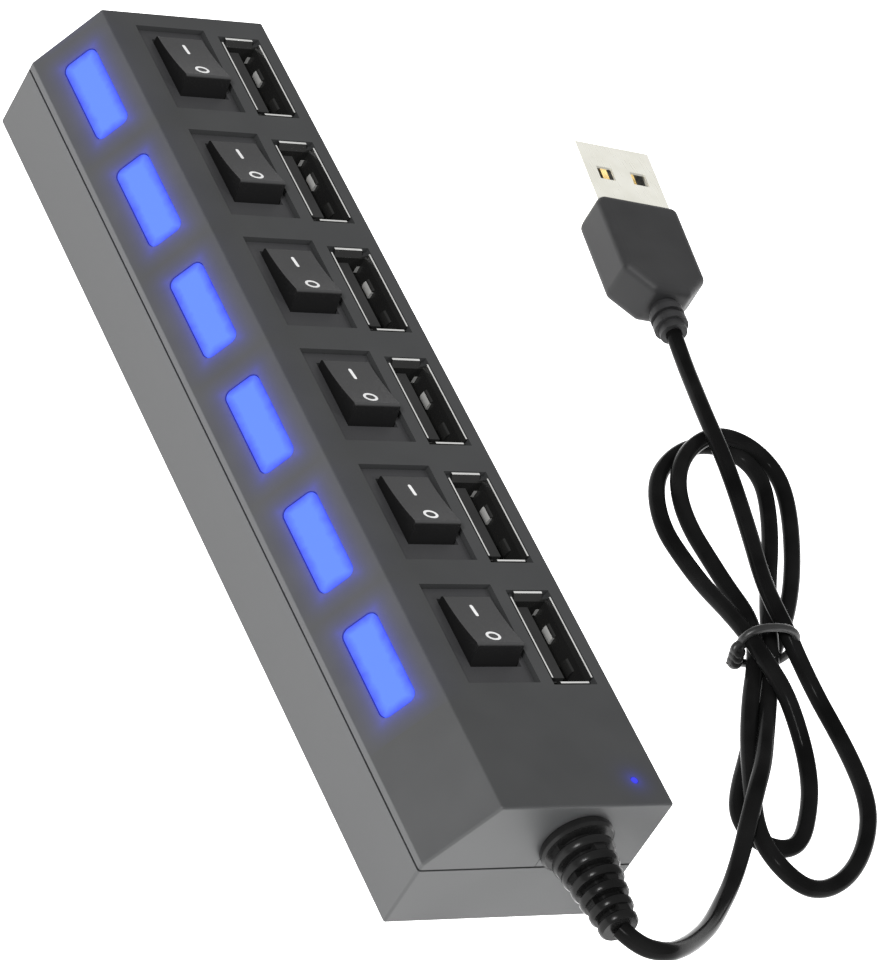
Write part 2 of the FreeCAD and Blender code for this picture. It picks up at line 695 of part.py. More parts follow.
def plug_contacts():
    top = -PLUG_SHELL_T / 2 + PLUG_SKIN + PLUG_TONGUE_T
    strips = []
    for x, length in ((-3.5, 8.8), (-1.0, 7.8), (1.0, 7.8), (3.5, 8.8)):
        strips.append(box(x - 0.5, x + 0.5, -1.2 - length, -1.2, top, top + 0.2))
    return Part.makeCompound(strips)


def plug_overmould():
    """Moulded grip round the root of the shell, tapering to a ringed neck round the cord."""
    half_w = PLUG_BODY_W / 2
    half_t = PLUG_BODY_T / 2
    front = -PLUG_SHELL_OUT
    back = front - PLUG_BODY_L
    taper = back + PLUG_TAPER_L
    narrow = half_w - PLUG_TAPER_W
    corners = [(-half_w, front), (half_w, front), (half_w, taper), (narrow, back),
               (-narrow, back), (-half_w, taper)]
    wire = Part.makePolygon([V(x, y, -half_t) for x, y in corners + corners[:1]])
    body = Part.Face(wire).extrude(V(0, 0, PLUG_BODY_T))
    body = body.makeFillet(PLUG_BODY_R, body.Edges)
    neck = [rod(V(0, back + 1, 0), V(0, back - PLUG_NECK_L, 0), PLUG_NECK_R)]
    for start in (1.0, 2.8):
        neck.append(rod(V(0, back - start, 0), V(0, back - start - 1.0, 0), PLUG_COLLAR_R))
    throat = box(-PLUG_SHELL_W / 2, PLUG_SHELL_W / 2, front - PLUG_SHELL_IN, front + 1,
                 -PLUG_SHELL_T / 2, PLUG_SHELL_T / 2)
    return one(body.fuse(neck).cut(throat))


def cord_tail():
    neck_end = PLUG_SHELL_OUT + PLUG_BODY_L + PLUG_NECK_L
    ending = [plug_point(neck_end + TAIL_STRAIGHT), plug_point(neck_end)]
    return tube(TAIL_ROUTE + ending, CORD_D, "cord tail")


# ---------------------------------------------------------------- export
def export():
    os.makedirs("parts", exist_ok=True)
    nodes = {
        "top_cover": top_cover(),
        "bottom_cover": bottom_cover(),
        "case_screws": case_screws(),
        "main_board": main_board(),
        "hub_chips": hub_chips(),
        "capacitors": capacitors(),
        "crystal": crystal(),
        "status_leds": status_leds(),
        "light_guide": light_guide(),
        "power_led_lens": power_led_lens(),
        "usb_contacts": usb_contacts(),
        "switch_terminals": switch_terminals(),
        "wire_leads": wire_leads(),
        "strain_relief": strain_relief(),
        "cord_lead": tube(LEAD_ROUTE, CORD_D, "cord lead"),
        "cord_hank": cord_hank(),
        "cord_tail": cord_tail(),
        "cord_tie": cord_tie(),
        "plug_overmould": on_plug(plug_overmould()),
        "plug_shell": on_plug(plug_shell()),
        "plug_tongue": on_plug(plug_tongue()),
        "plug_contacts": on_plug(plug_contacts()),
    }
    for index, y in enumerate(port_positions(), start=1):
        nodes["usb_shell_%d" % index] = usb_shell(y)
        nodes["usb_tongue_%d" % index] = usb_tongue(y)
        nodes["switch_housing_%d" % index] = switch_housing(y)
        nodes["rocker_%d" % index] = rocker(y)
        nodes["rocker_plunger_%d" % index] = rocker_plunger(y)
        nodes["switch_lever_%d" % index] = switch_lever(y)
    for name, shape in nodes.items():
        shape.exportStep("parts/%s.step" % name)
    print("%d nodes written" % len(nodes))


export()
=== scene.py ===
import json
import math

import bmesh
import bpy
from mathutils import Matrix, Quaternion, Vector


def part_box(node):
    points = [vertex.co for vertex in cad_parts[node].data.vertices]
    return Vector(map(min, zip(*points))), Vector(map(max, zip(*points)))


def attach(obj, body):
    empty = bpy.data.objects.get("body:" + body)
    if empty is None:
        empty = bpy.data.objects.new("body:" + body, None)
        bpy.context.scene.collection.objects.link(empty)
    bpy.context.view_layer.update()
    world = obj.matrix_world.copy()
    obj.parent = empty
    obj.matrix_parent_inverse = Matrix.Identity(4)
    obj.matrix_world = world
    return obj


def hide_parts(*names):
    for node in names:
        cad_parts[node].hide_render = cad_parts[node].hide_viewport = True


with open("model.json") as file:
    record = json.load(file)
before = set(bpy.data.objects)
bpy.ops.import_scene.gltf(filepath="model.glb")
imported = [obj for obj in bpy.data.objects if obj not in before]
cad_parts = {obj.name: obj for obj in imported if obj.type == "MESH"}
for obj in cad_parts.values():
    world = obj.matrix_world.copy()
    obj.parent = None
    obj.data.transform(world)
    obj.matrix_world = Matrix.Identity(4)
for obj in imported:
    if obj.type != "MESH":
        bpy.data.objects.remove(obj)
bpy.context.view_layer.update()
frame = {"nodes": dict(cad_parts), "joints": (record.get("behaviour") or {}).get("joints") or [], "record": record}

MM = 0.001
HUB = "hub"
PORTS = 6
# Edges sharper than this stay sharp when a mesh is smoothed (degrees).
SHARP_IN_CAD = 30
SHARP_IN_PIECES = 40

# ---------------------------------------------------------------- cord facts and route (mm)
CORD_D = 2.3

# Falls from the strain relief to the floor, then runs up to the tie over the strands below it.
LEAD = [
    (4.3, -79.3, 14.2), (5.6, -81.8, 14.2), (9.6, -82.3, 13.4), (13.6, -80.6, 11.6),
    (18.8, -77.6, 9.0), (24.8, -73.6, 6.2), (30.4, -68.9, 3.9), (35.3, -64.4, 2.6),
    (38.6, -60.3, 3.2), (41.0, -56.3, 4.8), (43.3, -52.8, 5.8), (46.8, -48.5, 5.7),
    (50.6, -43.2, 4.8), (55.3, -36.6, 3.6), (59.2, -30.8, 2.9),
]
# First loop above the tie, laid on the floor.
UPPER_LOOP_1 = [
    (61.3, -26.2, 3.4), (64.3, -20.7, 2.6), (68.7, -14.1, 1.4), (72.9, -7.1, 1.3),
    (75.8, -0.9, 1.3), (77.3, 3.8, 1.3), (76.7, 7.5, 1.3), (73.8, 9.9, 1.3), (70.2, 10.2, 1.3),
    (66.8, 9.2, 1.3), (63.3, 7.2, 1.3), (59.8, 4.1, 1.3), (57.3, -0.5, 1.3), (56.1, -5.4, 1.3),
    (56.5, -9.8, 1.3), (57.2, -15.4, 1.6), (56.6, -22.0, 3.9),
]
# First loop below the tie, the narrow one: over the other strands at the tie, then on the
# floor, with its end under the wide loop.
LOWER_LOOP_1 = [
    (55.9, -28.2, 5.7), (56.0, -32.4, 6.0), (56.6, -36.8, 5.7), (57.6, -40.8, 3.8),
    (58.2, -44.6, 1.8), (56.8, -48.8, 1.3), (54.5, -52.6, 1.3), (51.4, -56.7, 1.3),
    (48.5, -58.5, 1.3), (45.3, -58.1, 1.3), (43.2, -55.8, 1.3), (43.2, -52.6, 1.3),
    (45.3, -48.9, 1.3), (49.9, -43.2, 1.3), (54.5, -36.9, 1.3), (59.2, -31.1, 1.3),
]
# Second loop above the tie, wider, crossing over the first at its far end.
UPPER_LOOP_2 = [
    (63.5, -25.7, 1.3), (68.2, -20.6, 1.5), (73.4, -13.1, 1.3), (77.6, -5.0, 1.3),
    (80.1, 1.4, 1.3), (80.3, 5.5, 1.6), (78.0, 8.6, 2.4), (74.5, 9.9, 3.2), (70.9, 9.8, 3.6),
    (67.2, 8.3, 3.8), (63.6, 5.6, 3.7), (61.2, 2.4, 3.2), (60.6, -1.0, 2.0), (60.6, -5.3, 1.3),
    (60.9, -10.0, 1.3), (61.1, -15.4, 1.5), (60.5, -21.4, 2.8),
]
# Second loop below the tie, the wide one, down its left side and over the narrow one's end.
LOWER_LOOP_2 = [
    (58.8, -26.2, 3.5), (56.3, -30.8, 3.5), (53.2, -35.4, 3.4), (49.6, -41.5, 3.4),
    (46.6, -47.5, 3.5), (44.5, -52.0, 3.6), (42.9, -56.0, 3.6), (42.3, -59.6, 3.6),
    (43.4, -63.1, 3.3), (46.2, -65.2, 2.4), (49.8, -65.1, 1.5), (53.5, -63.9, 1.3),
    (57.2, -61.5, 1.3), (60.8, -57.9, 1.3), (63.7, -53.7, 1.3), (65.2, -49.6, 1.3),
    (65.9, -44.7, 1.3), (66.1, -39.6, 1.3), (65.3, -34.6, 2.0), (63.4, -30.0, 4.2),
]
# Over both upper loops and down to the neck of the plug.
TAIL = [
    (62.3, -26.6, 5.8), (62.4, -22.6, 5.9), (63.5, -17.4, 5.4), (65.8, -10.0, 5.0),
    (67.5, -2.0, 5.2), (67.7, 3.0, 6.0), (68.1, 7.4, 6.2), (69.3, 12.3, 5.6), (70.8, 17.2, 4.8),
    (72.2, 21.4, 4.0), (73.3, 24.9, 3.5), (74.2, 29.3, 3.48),
]
ROUTE = LEAD + UPPER_LOOP_1 + LOWER_LOOP_1 + UPPER_LOOP_2 + LOWER_LOOP_2 + TAIL

# ---------------------------------------------------------------- wire tie (mm)
TIE_D = 1.1
# Once round the strands where the loops cross.
TIE_LOOP = [
    (54.9, -28.0, 3.6), (54.4, -27.9, 5.8), (55.9, -27.8, 7.4), (58.8, -27.8, 7.8),
    (61.2, -27.9, 7.5), (62.8, -28.1, 6.5), (63.7, -28.0, 4.6), (63.9, -27.8, 2.4),
    (63.0, -27.6, 0.7), (61.0, -27.6, 0.6), (58.0, -27.7, 0.6), (55.6, -27.9, 1.4),
]
# The twisted end: where its coil starts, how far it swings and how far it moves on per point.
TWIST_START = (54.3, -28.4, 4.6)
TWIST_SWING = (0.7, 0.3, 0.45)
TWIST_STEP = (0.0, -0.035, -0.085)
TWIST_POINTS = 29
TWIST_POINTS_PER_TURN = 8

# ---------------------------------------------------------------- strain relief boot (mm)
# Six rings on a core that tapers by a step at each ring, with two webs between each pair.
BOOT_RINGS = 6
BOOT_FLANGE_T = 1.2
BOOT_NECK = 0.6
BOOT_INSIDE = 3.0
RING_R = 3.9
RING_R_STEP = 0.29
RING_SHARE = 0.62
CORE_R = 2.7
CORE_R_STEP = 0.22
WEB_R = 3.6
WEB_R_STEP = 0.27
WEB_W = 1.5
LATHE_SEGMENTS = 56

# ---------------------------------------------------------------- rockers and their marks (mm)
# The rocker's top about its pivot, as in the CAD, and its tilt at rest (degrees).
ROCKER_TOP = 3.0
ROCKER_DISH = 0.25
ROCKER_HALF = 4.65
ROCKER_TILT = 10.5
# The print stands a little proud of the dished top, and starts a little inside it.
MARK_RISE = 0.03
MARK_ROOT = -0.05
OFF_AT = (-0.2, -2.95)
OFF_HALF = (1.0, 0.85)
OFF_LINE = 0.34
ON_AT = (-0.2, 1.9)
ON_HALF = (0.22, 1.0)
HAIRLINE = 0.002

# ---------------------------------------------------------------- places that materials need (mm)
# Windows in the chamfer and the power lamp, as in the CAD: distances up the chamfer are
# slope . (x, z) from the frame's origin.
FIRST_PORT_Y = -40.6
PITCH = 19.2
WINDOW_SLOPE = (0.512, 0.859)
WINDOW_MIDDLE = 7.06
WINDOW_HALF_UP = 2.6
WINDOW_HALF_Y = 6.8
LAMP_AT = (11.2, -62.6)
# The windows light no plastic beyond this x, and the lamp none below this z.
WINDOW_REACH_X = -6.0
LAMP_REACH_Z = 18.0
# How far the blue light spreads over the case round a window and round the lamp, and how deep
# the windows' rims are.
WINDOW_SPILL = 0.9
LAMP_SPILL = 0.7
WINDOW_RIM = 2.4
# Height of the sockets' rims, below which the socket steel gets painted shade, and where the painted glint on the
# spring inside each shows.
RIM_Z = 20.36
SPRING_X = (12.04, 12.54)
SPRING_Z = (17.1, 18.2)
# Share of its colour that the socket steel keeps in the painted shade.
SOCKET_SHADE = 0.04


# ---------------------------------------------------------------- material helpers
MATERIALS = {}


def start_material(name):
    """A new material, kept by its name."""
    material = bpy.data.materials.new(name)
    MATERIALS[name] = material
    material.use_nodes = True
    tree = material.node_tree
    shader = tree.nodes["Principled BSDF"]
    return material, tree, shader


def add(tree, kind, **values):
    node = tree.nodes.new(kind)
    for key, value in values.items():
        if key in node.inputs:
            node.inputs[key].default_value = value
        else:
            setattr(node, key, value)
    return node


def coordinates(tree):
    """A point's x, y and z in object space (m)."""
    place = add(tree, "ShaderNodeTexCoord")
    split = add(tree, "ShaderNodeSeparateXYZ")
    tree.links.new(place.outputs["Object"], split.inputs[0])
    return tuple(split.outputs)


def calculate(tree, operation, first, second=0.0):
    """One step of arithmetic on node outputs or plain numbers."""
    node = tree.nodes.new("ShaderNodeMath")
    node.operation = operation
    for slot, value in enumerate((first, second)):
        if isinstance(value, (int, float)):
            node.inputs[slot].default_value = value
        else:
            tree.links.new(value, node.inputs[slot])
    return node.outputs[0]


def product(tree, *factors):
    result = factors[0]
    for factor in factors[1:]:
        result = calculate(tree, "MULTIPLY", result, factor)
    return result


def hypotenuse(tree, first, second):
    squares = [calculate(tree, "POWER", side, 2.0) for side in (first, second)]
    return calculate(tree, "SQRT", calculate(tree, "ADD", *squares))


def fade(tree, distance, reach):
    """One where there is no distance, falling away over the reach (mm)."""
    return calculate(tree, "EXPONENT", calculate(tree, "MULTIPLY", distance, -1 / (reach * MM)))


def above(tree, value, limit):
    return calculate(tree, "GREATER_THAN", value, limit * MM)


def below(tree, value, limit):
    return calculate(tree, "LESS_THAN", value, limit * MM)


def noise(tree, scale, detail=3.0, stretch=(1, 1, 1)):
    """Noise in object space; scale is in waves per metre, stretched along each axis."""
    place = add(tree, "ShaderNodeTexCoord")
    mapping = add(tree, "ShaderNodeMapping")
    mapping.inputs["Scale"].default_value = stretch
    texture = add(tree, "ShaderNodeTexNoise", Scale=scale, Detail=detail)
    tree.links.new(place.outputs["Object"], mapping.inputs["Vector"])
    tree.links.new(mapping.outputs["Vector"], texture.inputs["Vector"])
    return texture.outputs["Fac"]


def colour_between(tree, factor, dark, light, low=0.3, high=0.7):
    ramp = add(tree, "ShaderNodeValToRGB")
    ramp.color_ramp.elements[0].position = low
    ramp.color_ramp.elements[0].color = (*dark, 1)
    ramp.color_ramp.elements[1].position = high
    ramp.color_ramp.elements[1].color = (*light, 1)
    tree.links.new(factor, ramp.inputs["Fac"])
    return ramp.outputs["Color"]


def value_between(tree, factor, low, high):
    span = add(tree, "ShaderNodeMapRange")
    span.inputs["To Min"].default_value = low
    span.inputs["To Max"].default_value = high
    tree.links.new(factor, span.inputs["Value"])
    return span.outputs["Result"]


def bump(tree, shader, height, strength, distance):
    node = add(tree, "ShaderNodeBump", Strength=strength, Distance=distance)
    tree.links.new(height, node.inputs["Height"])
    tree.links.new(node.outputs["Normal"], shader.inputs["Normal"])


def moulded(name, dark, light, rough, grain=9000.0, depth=0.00002, strength=0.35, index=1.45):
    """Moulded plastic or rubber: fine spark-eroded grain, slightly uneven colour and gloss."""
    material, tree, shader = start_material(name)
    blotch = noise(tree, 140.0, 2.0)
    fine = noise(tree, grain, 4.0)
    tree.links.new(colour_between(tree, blotch, dark, light), shader.inputs["Base Color"])
    tree.links.new(value_between(tree, blotch, rough - 0.05, rough + 0.05),
                   shader.inputs["Roughness"])
    bump(tree, shader, fine, strength, depth)
    shader.inputs["IOR"].default_value = index
    return material


def scale_colour(tree, shader, factor):
    """Multiplies a shader's base colour by a node output."""
    source = shader.inputs["Base Color"].links[0].from_socket
    mix = add(tree, "ShaderNodeVectorMath", operation="SCALE")
    tree.links.new(source, mix.inputs[0])
    tree.links.new(factor, mix.inputs["Scale"])
    tree.links.new(mix.outputs[0], shader.inputs["Base Color"])


def painted_side_shade(material, dark):
    """Painted shade on upright faces: multiplies their base colour by dark, and their specular too, so they look
    less lit than the top.
    """
    tree = material.node_tree
    shader = tree.nodes["Principled BSDF"]
    surface = add(tree, "ShaderNodeNewGeometry")
    split = add(tree, "ShaderNodeSeparateXYZ")
    tree.links.new(surface.outputs["Normal"], split.inputs[0])
    span = add(tree, "ShaderNodeMapRange")
    span.inputs["From Min"].default_value = 0.5
    span.inputs["From Max"].default_value = 0.93
    span.inputs["To Min"].default_value = dark
    span.inputs["To Max"].default_value = 1.0
    tree.links.new(split.outputs[2], span.inputs["Value"])
    scale_colour(tree, shader, span.outputs["Result"])
    tree.links.new(calculate(tree, "MULTIPLY", span.outputs["Result"], 0.5),
                   shader.inputs["Specular IOR Level"])


def metal(name, dark, light, rough, stretch=(1, 1, 1), metallic=1.0):
    """Plated or brushed metal, with fine marks drawn out along one axis.

    Below one, metallic gives plating that scatters light as well as mirroring it.
    """
    material, tree, shader = start_material(name)
    marks = noise(tree, 2500.0, 4.0, stretch)
    tint = noise(tree, 260.0, 2.0)
    shader.inputs["Metallic"].default_value = metallic
    tree.links.new(colour_between(tree, tint, dark, light), shader.inputs["Base Color"])
    tree.links.new(value_between(tree, marks, rough * 0.7, rough * 1.4),
                   shader.inputs["Roughness"])
    bump(tree, shader, marks, 0.12, 0.00001)
    return material


def socket_metal(name):
    """Bright rim, with painted shade darkening the steel below it, and a painted glint on one spring on each
    socket's far wall.
    """
    material = metal(name, (0.8, 0.8, 0.78), (0.92, 0.92, 0.9), 0.2, (1, 1, 0.1), 0.6)
    tree = material.node_tree
    x, y, z = coordinates(tree)
    along = calculate(tree, "MODULO", calculate(tree, "ADD", y, (PITCH / 2 - FIRST_PORT_Y) * MM),
                      PITCH * MM)
    spring = product(tree, above(tree, x, SPRING_X[0]), below(tree, x, SPRING_X[1]),
                     above(tree, z, SPRING_Z[0]), below(tree, z, SPRING_Z[1]),
                     above(tree, along, PITCH / 2))
    # Only the rim and the painted glint keep their colour; the rest gets painted shade.
    bright = calculate(tree, "MAXIMUM", above(tree, z, RIM_Z), spring)
    scale_colour(tree, tree.nodes["Principled BSDF"],
                 calculate(tree, "MAXIMUM", bright, SOCKET_SHADE))


def window_distances(tree, x, y, z):
    """How far a point lies beyond a window's long and short edges (m)."""
    across = calculate(tree, "ADD", calculate(tree, "MULTIPLY", x, WINDOW_SLOPE[0]),
                       calculate(tree, "MULTIPLY", z, WINDOW_SLOPE[1]))
    offset = calculate(tree, "ABSOLUTE", calculate(tree, "SUBTRACT", across, WINDOW_MIDDLE * MM))
    beyond_long = calculate(tree, "SUBTRACT", offset, WINDOW_HALF_UP * MM)
    from_port = calculate(tree, "PINGPONG", calculate(tree, "SUBTRACT", y, FIRST_PORT_Y * MM),
                          PITCH * MM / 2)
    beyond_short = calculate(tree, "SUBTRACT", from_port, WINDOW_HALF_Y * MM)
    return beyond_long, beyond_short


def glowing(name, power):
    """Diffusing light guide: pale blue in the middle of each window, deep blue at its rim."""
    _, tree, shader = start_material(name)
    beyond = calculate(tree, "MAXIMUM", *window_distances(tree, *coordinates(tree)))
    depth = calculate(tree, "MULTIPLY", beyond, -1 / (WINDOW_RIM * MM))
    patchy = calculate(tree, "MULTIPLY", noise(tree, 700.0, 2.0), 0.35)
    colour = colour_between(tree, calculate(tree, "ADD", depth, patchy), (0.03, 0.03, 0.75),
                            (0.12, 0.26, 1.0), 0.05, 0.7)
    shader.inputs["Base Color"].default_value = (0.01, 0.015, 0.12, 1)
    tree.links.new(colour, shader.inputs["Emission Color"])
    shader.inputs["Emission Strength"].default_value = power
    shader.inputs["Roughness"].default_value = 0.25
    bump(tree, shader, noise(tree, 3000.0, 2.0), 0.2, 0.00002)


def lit_case(name):
    """Charcoal case plastic that picks up blue light just outside each window and the lamp."""
    material = moulded(name, (0.040, 0.041, 0.042), (0.046, 0.047, 0.048), 0.5)
    tree = material.node_tree
    shader = tree.nodes["Principled BSDF"]
    x, y, z = coordinates(tree)
    beyond = [calculate(tree, "MAXIMUM", distance, 0.0)
              for distance in window_distances(tree, x, y, z)]
    glow = product(tree, fade(tree, hypotenuse(tree, *beyond), WINDOW_SPILL),
                   above(tree, y, FIRST_PORT_Y - PITCH / 2), below(tree, x, WINDOW_REACH_X), 0.28)
    from_lamp = [calculate(tree, "SUBTRACT", value, place * MM)
                 for value, place in zip((x, y), LAMP_AT)]
    lamp = product(tree, fade(tree, hypotenuse(tree, *from_lamp), LAMP_SPILL),
                   above(tree, z, LAMP_REACH_Z), 0.4)
    shader.inputs["Emission Color"].default_value = (0.03, 0.045, 1.0, 1)
    tree.links.new(calculate(tree, "ADD", glow, lamp), shader.inputs["Emission Strength"])


def board_mask(name):
    """Solder mask over copper tracks, which show as faint lighter squares."""
    _, tree, shader = start_material(name)
    place = add(tree, "ShaderNodeTexCoord")
    tracks = add(tree, "ShaderNodeTexVoronoi", Scale=420.0)
    tracks.distance = "CHEBYCHEV"
    tree.links.new(place.outputs["Object"], tracks.inputs["Vector"])
    colour = colour_between(tree, tracks.outputs["Distance"], (0.01, 0.11, 0.04),
                            (0.02, 0.2, 0.08), 0.2, 0.3)
    tree.links.new(colour, shader.inputs["Base Color"])
    shader.inputs["Roughness"].default_value = 0.3


def grey(level):
    return (level, level, level)


def make_materials():
    """One material for each slot of the record, and one for the print on the rockers."""
    lit_case("case_plastic")
    moulded("switch_plastic", (0.034, 0.034, 0.036), (0.040, 0.040, 0.042), 0.5)
    rocker = moulded("rocker_plastic", (0.042, 0.042, 0.043), (0.048, 0.048, 0.049), 0.5)
    # Painted shade on the rockers' upright faces.
    painted_side_shade(rocker, 0.2)
    moulded("plunger_white", (0.7, 0.7, 0.68), (0.8, 0.8, 0.78), 0.4)
    metal("steel", (0.45, 0.45, 0.46), grey(0.6), 0.3)
    # Painted shade below the sockets' rims, with a painted glint on one spring.
    socket_metal("socket_steel")
    metal("plug_steel", (0.86, 0.85, 0.76), (0.95, 0.94, 0.86), 0.28, (1, 0.1, 1), 0.3)
    moulded("insulator_black", grey(0.012), grey(0.02), 0.5)
    metal("contact_gold", (0.75, 0.52, 0.2), (0.9, 0.68, 0.32), 0.2)
    metal("terminal_brass", (0.6, 0.45, 0.2), (0.75, 0.58, 0.28), 0.32)
    board_mask("board_green")
    moulded("chip_black", (0.02, 0.02, 0.021), (0.03, 0.03, 0.031), 0.6)
    metal("can_aluminium", (0.6, 0.6, 0.62), (0.75, 0.75, 0.77), 0.25)
    moulded("led_white", (0.75, 0.75, 0.7), (0.85, 0.85, 0.8), 0.35)
    glowing("blue_light", 1.0)
    moulded("wire_red", (0.5, 0.03, 0.02), (0.62, 0.05, 0.04), 0.35)
    moulded("black_rubber", grey(0.006), grey(0.012), 0.24, index=1.2)
    moulded("cord_black", grey(0.004), grey(0.009), 0.16, 5000.0, 0.00001, 0.2, 1.06)
    moulded("tie_black", grey(0.012), grey(0.02), 0.4)
    plug = moulded("plug_rubber", (0.023, 0.023, 0.024), (0.031, 0.031, 0.032), 0.55)
    # Painted shade on the plug's upright faces.
    painted_side_shade(plug, 0.6)
    moulded("mark_white", grey(0.75), grey(0.85), 0.55)


# ---------------------------------------------------------------- pieces
def dress_frame():
    """Every CAD node gets the material of its slot in the record."""
    for part in frame["record"]["subparts"]:
        node = frame["nodes"][part["node"]]
        node.data.materials.clear()
        node.data.materials.append(MATERIALS[part["material_slot"]])
        node.data.polygons.foreach_set("use_smooth", [True] * len(node.data.polygons))
        node.data.set_sharp_from_angle(angle=math.radians(SHARP_IN_CAD))


def finish_piece(piece, slot, body):
    piece.data.materials.append(MATERIALS[slot])
    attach(piece, body)


def mesh_object(name, mesh_data):
    piece = bpy.data.objects.new(name, mesh_data)
    bpy.context.collection.objects.link(piece)
    return piece


def from_bmesh(name, form):
    """An object with the form's mesh, smooth but for its sharp edges."""
    mesh_data = bpy.data.meshes.new(name)
    form.to_mesh(mesh_data)
    form.free()
    for face in mesh_data.polygons:
        face.use_smooth = True
    mesh_data.set_sharp_from_angle(angle=math.radians(SHARP_IN_PIECES))
    return mesh_object(name, mesh_data)


def curve_object(name, points, diameter, cyclic=False, resolution=10):
    """A round cord on one NURBS spline, from its control points (mm)."""
    line = bpy.data.curves.new(name, "CURVE")
    line.dimensions = "3D"
    line.bevel_depth = diameter * MM / 2
    line.bevel_resolution = 6
    line.use_fill_caps = True
    spline = line.splines.new("NURBS")
    spline.points.add(len(points) - 1)
    for point, (x, y, z) in zip(spline.points, points):
        point.co = (x * MM, y * MM, z * MM, 1)
    spline.order_u = 3
    spline.use_endpoint_u = not cyclic
    spline.use_cyclic_u = cyclic
    spline.resolution_u = resolution
    return mesh_object(name, line)


# ---------------------------------------------------------------- strain relief boot
def lathe(form, stations, centre, axis, side):
    """Surface of revolution in a bmesh: stations are (distance along the axis, radius)."""
    across = axis.cross(side)
    rings = []
    for along, radius in stations:
        ring = []
        for count in range(LATHE_SEGMENTS):
            angle = 2 * math.pi * count / LATHE_SEGMENTS
            outward = side * math.cos(angle) + across * math.sin(angle)
            ring.append(form.verts.new(centre + axis * along + outward * radius))
        rings.append(ring)
    for first, second in zip(rings, rings[1:]):
        for count in range(LATHE_SEGMENTS):
            after = (count + 1) % LATHE_SEGMENTS
            form.faces.new((first[count], first[after], second[after], second[count]))
    form.faces.new(list(reversed(rings[0])))
    form.faces.new(rings[-1])


def boot_stations(flange_r, pitch):
    """Outline of the boot: flange, then the rings and the core between them."""
    flange_t = BOOT_FLANGE_T * MM
    neck = flange_r * BOOT_NECK
    stations = [(-BOOT_INSIDE * MM, neck), (-0.05 * MM, neck), (0, flange_r - 0.15 * MM),
                (0.25 * MM, flange_r), (flange_t - 0.3 * MM, flange_r),
                (flange_t, flange_r - 0.3 * MM)]
    for ring in range(BOOT_RINGS):
        start = flange_t + ring * pitch
        end = start + pitch
        rise = end - pitch * RING_SHARE
        outer = (RING_R - RING_R_STEP * ring) * MM
        core = (CORE_R - CORE_R_STEP * ring) * MM
        stations += [(start + 0.02 * MM, core), (rise, core),
                     (rise + 0.05 * MM, outer - 0.22 * MM), (rise + 0.28 * MM, outer),
                     (end - 0.28 * MM, outer - 0.05 * MM), (end - 0.03 * MM, outer - 0.28 * MM)]
    return stations


def boot_web(form, centre, axis, direction, ring, pitch):
    """A block that joins two rings on one side of the core."""
    reach = (WEB_R - WEB_R_STEP * ring) * MM
    start = BOOT_FLANGE_T * MM + ring * pitch
    across = axis.cross(direction)
    place = Matrix((direction * reach * 0.44, axis * pitch * 0.5,
                    across * WEB_W * MM)).transposed().to_4x4()
    place.translation = centre + axis * (start + pitch * 0.2) + direction * reach * 0.78
    block = bmesh.ops.create_cube(form, size=1.0)["verts"]
    bmesh.ops.transform(form, matrix=place, verts=block)


def strain_relief_boot():
    """Flange on the end wall, then rounded rings on a tapering core, joined by webs."""
    low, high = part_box("strain_relief")
    wall_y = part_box("top_cover")[0].y
    centre = Vector(((low.x + high.x) / 2, wall_y, (low.z + high.z) / 2))
    axis = Vector((0, -1, 0))
    pitch = (wall_y - low.y - BOOT_FLANGE_T * MM) / BOOT_RINGS
    form = bmesh.new()
    lathe(form, boot_stations((high.x - low.x) / 2, pitch), centre, axis, Vector((1, 0, 0)))
    for ring in range(BOOT_RINGS):
        for side in (0, math.pi):
            turn = math.pi / 2 * (ring % 2) + side
            direction = Vector((math.cos(turn), 0, math.sin(turn)))
            boot_web(form, centre, axis, direction, ring, pitch)
    bmesh.ops.recalc_face_normals(form, faces=form.faces)
    piece = from_bmesh("strain_relief_boot", form)
    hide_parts("strain_relief")
    finish_piece(piece, "black_rubber", HUB)


# ---------------------------------------------------------------- cord and tie
def usb_cord():
    piece = curve_object("usb_cord", ROUTE, CORD_D)
    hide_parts("cord_lead", "cord_hank", "cord_tail")
    finish_piece(piece, "cord_black", HUB)


def twist_tie():
    """Coated wire wrapped once round the crossing, with its twisted end at one side."""
    ring = curve_object("tie_loop", TIE_LOOP, TIE_D, cyclic=True)
    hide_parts("cord_tie")
    finish_piece(ring, "tie_black", HUB)
    end = []
    for count in range(TWIST_POINTS):
        angle = 2 * math.pi * count / TWIST_POINTS_PER_TURN
        turn = (math.cos(angle), math.sin(angle), math.sin(angle))
        end.append([start + step * count + swing * part for start, step, swing, part
                    in zip(TWIST_START, TWIST_STEP, TWIST_SWING, turn)])
    twist = curve_object("tie_twist", end, TIE_D, resolution=6)
    finish_piece(twist, "tie_black", HUB)


# ---------------------------------------------------------------- switch marks
def rocker_top(y, lift):
    """Height of the dished top over the pivot at y along the rocker, before it is tilted."""
    return ROCKER_TOP - ROCKER_DISH * (1 - (y / ROCKER_HALF) ** 2) + lift


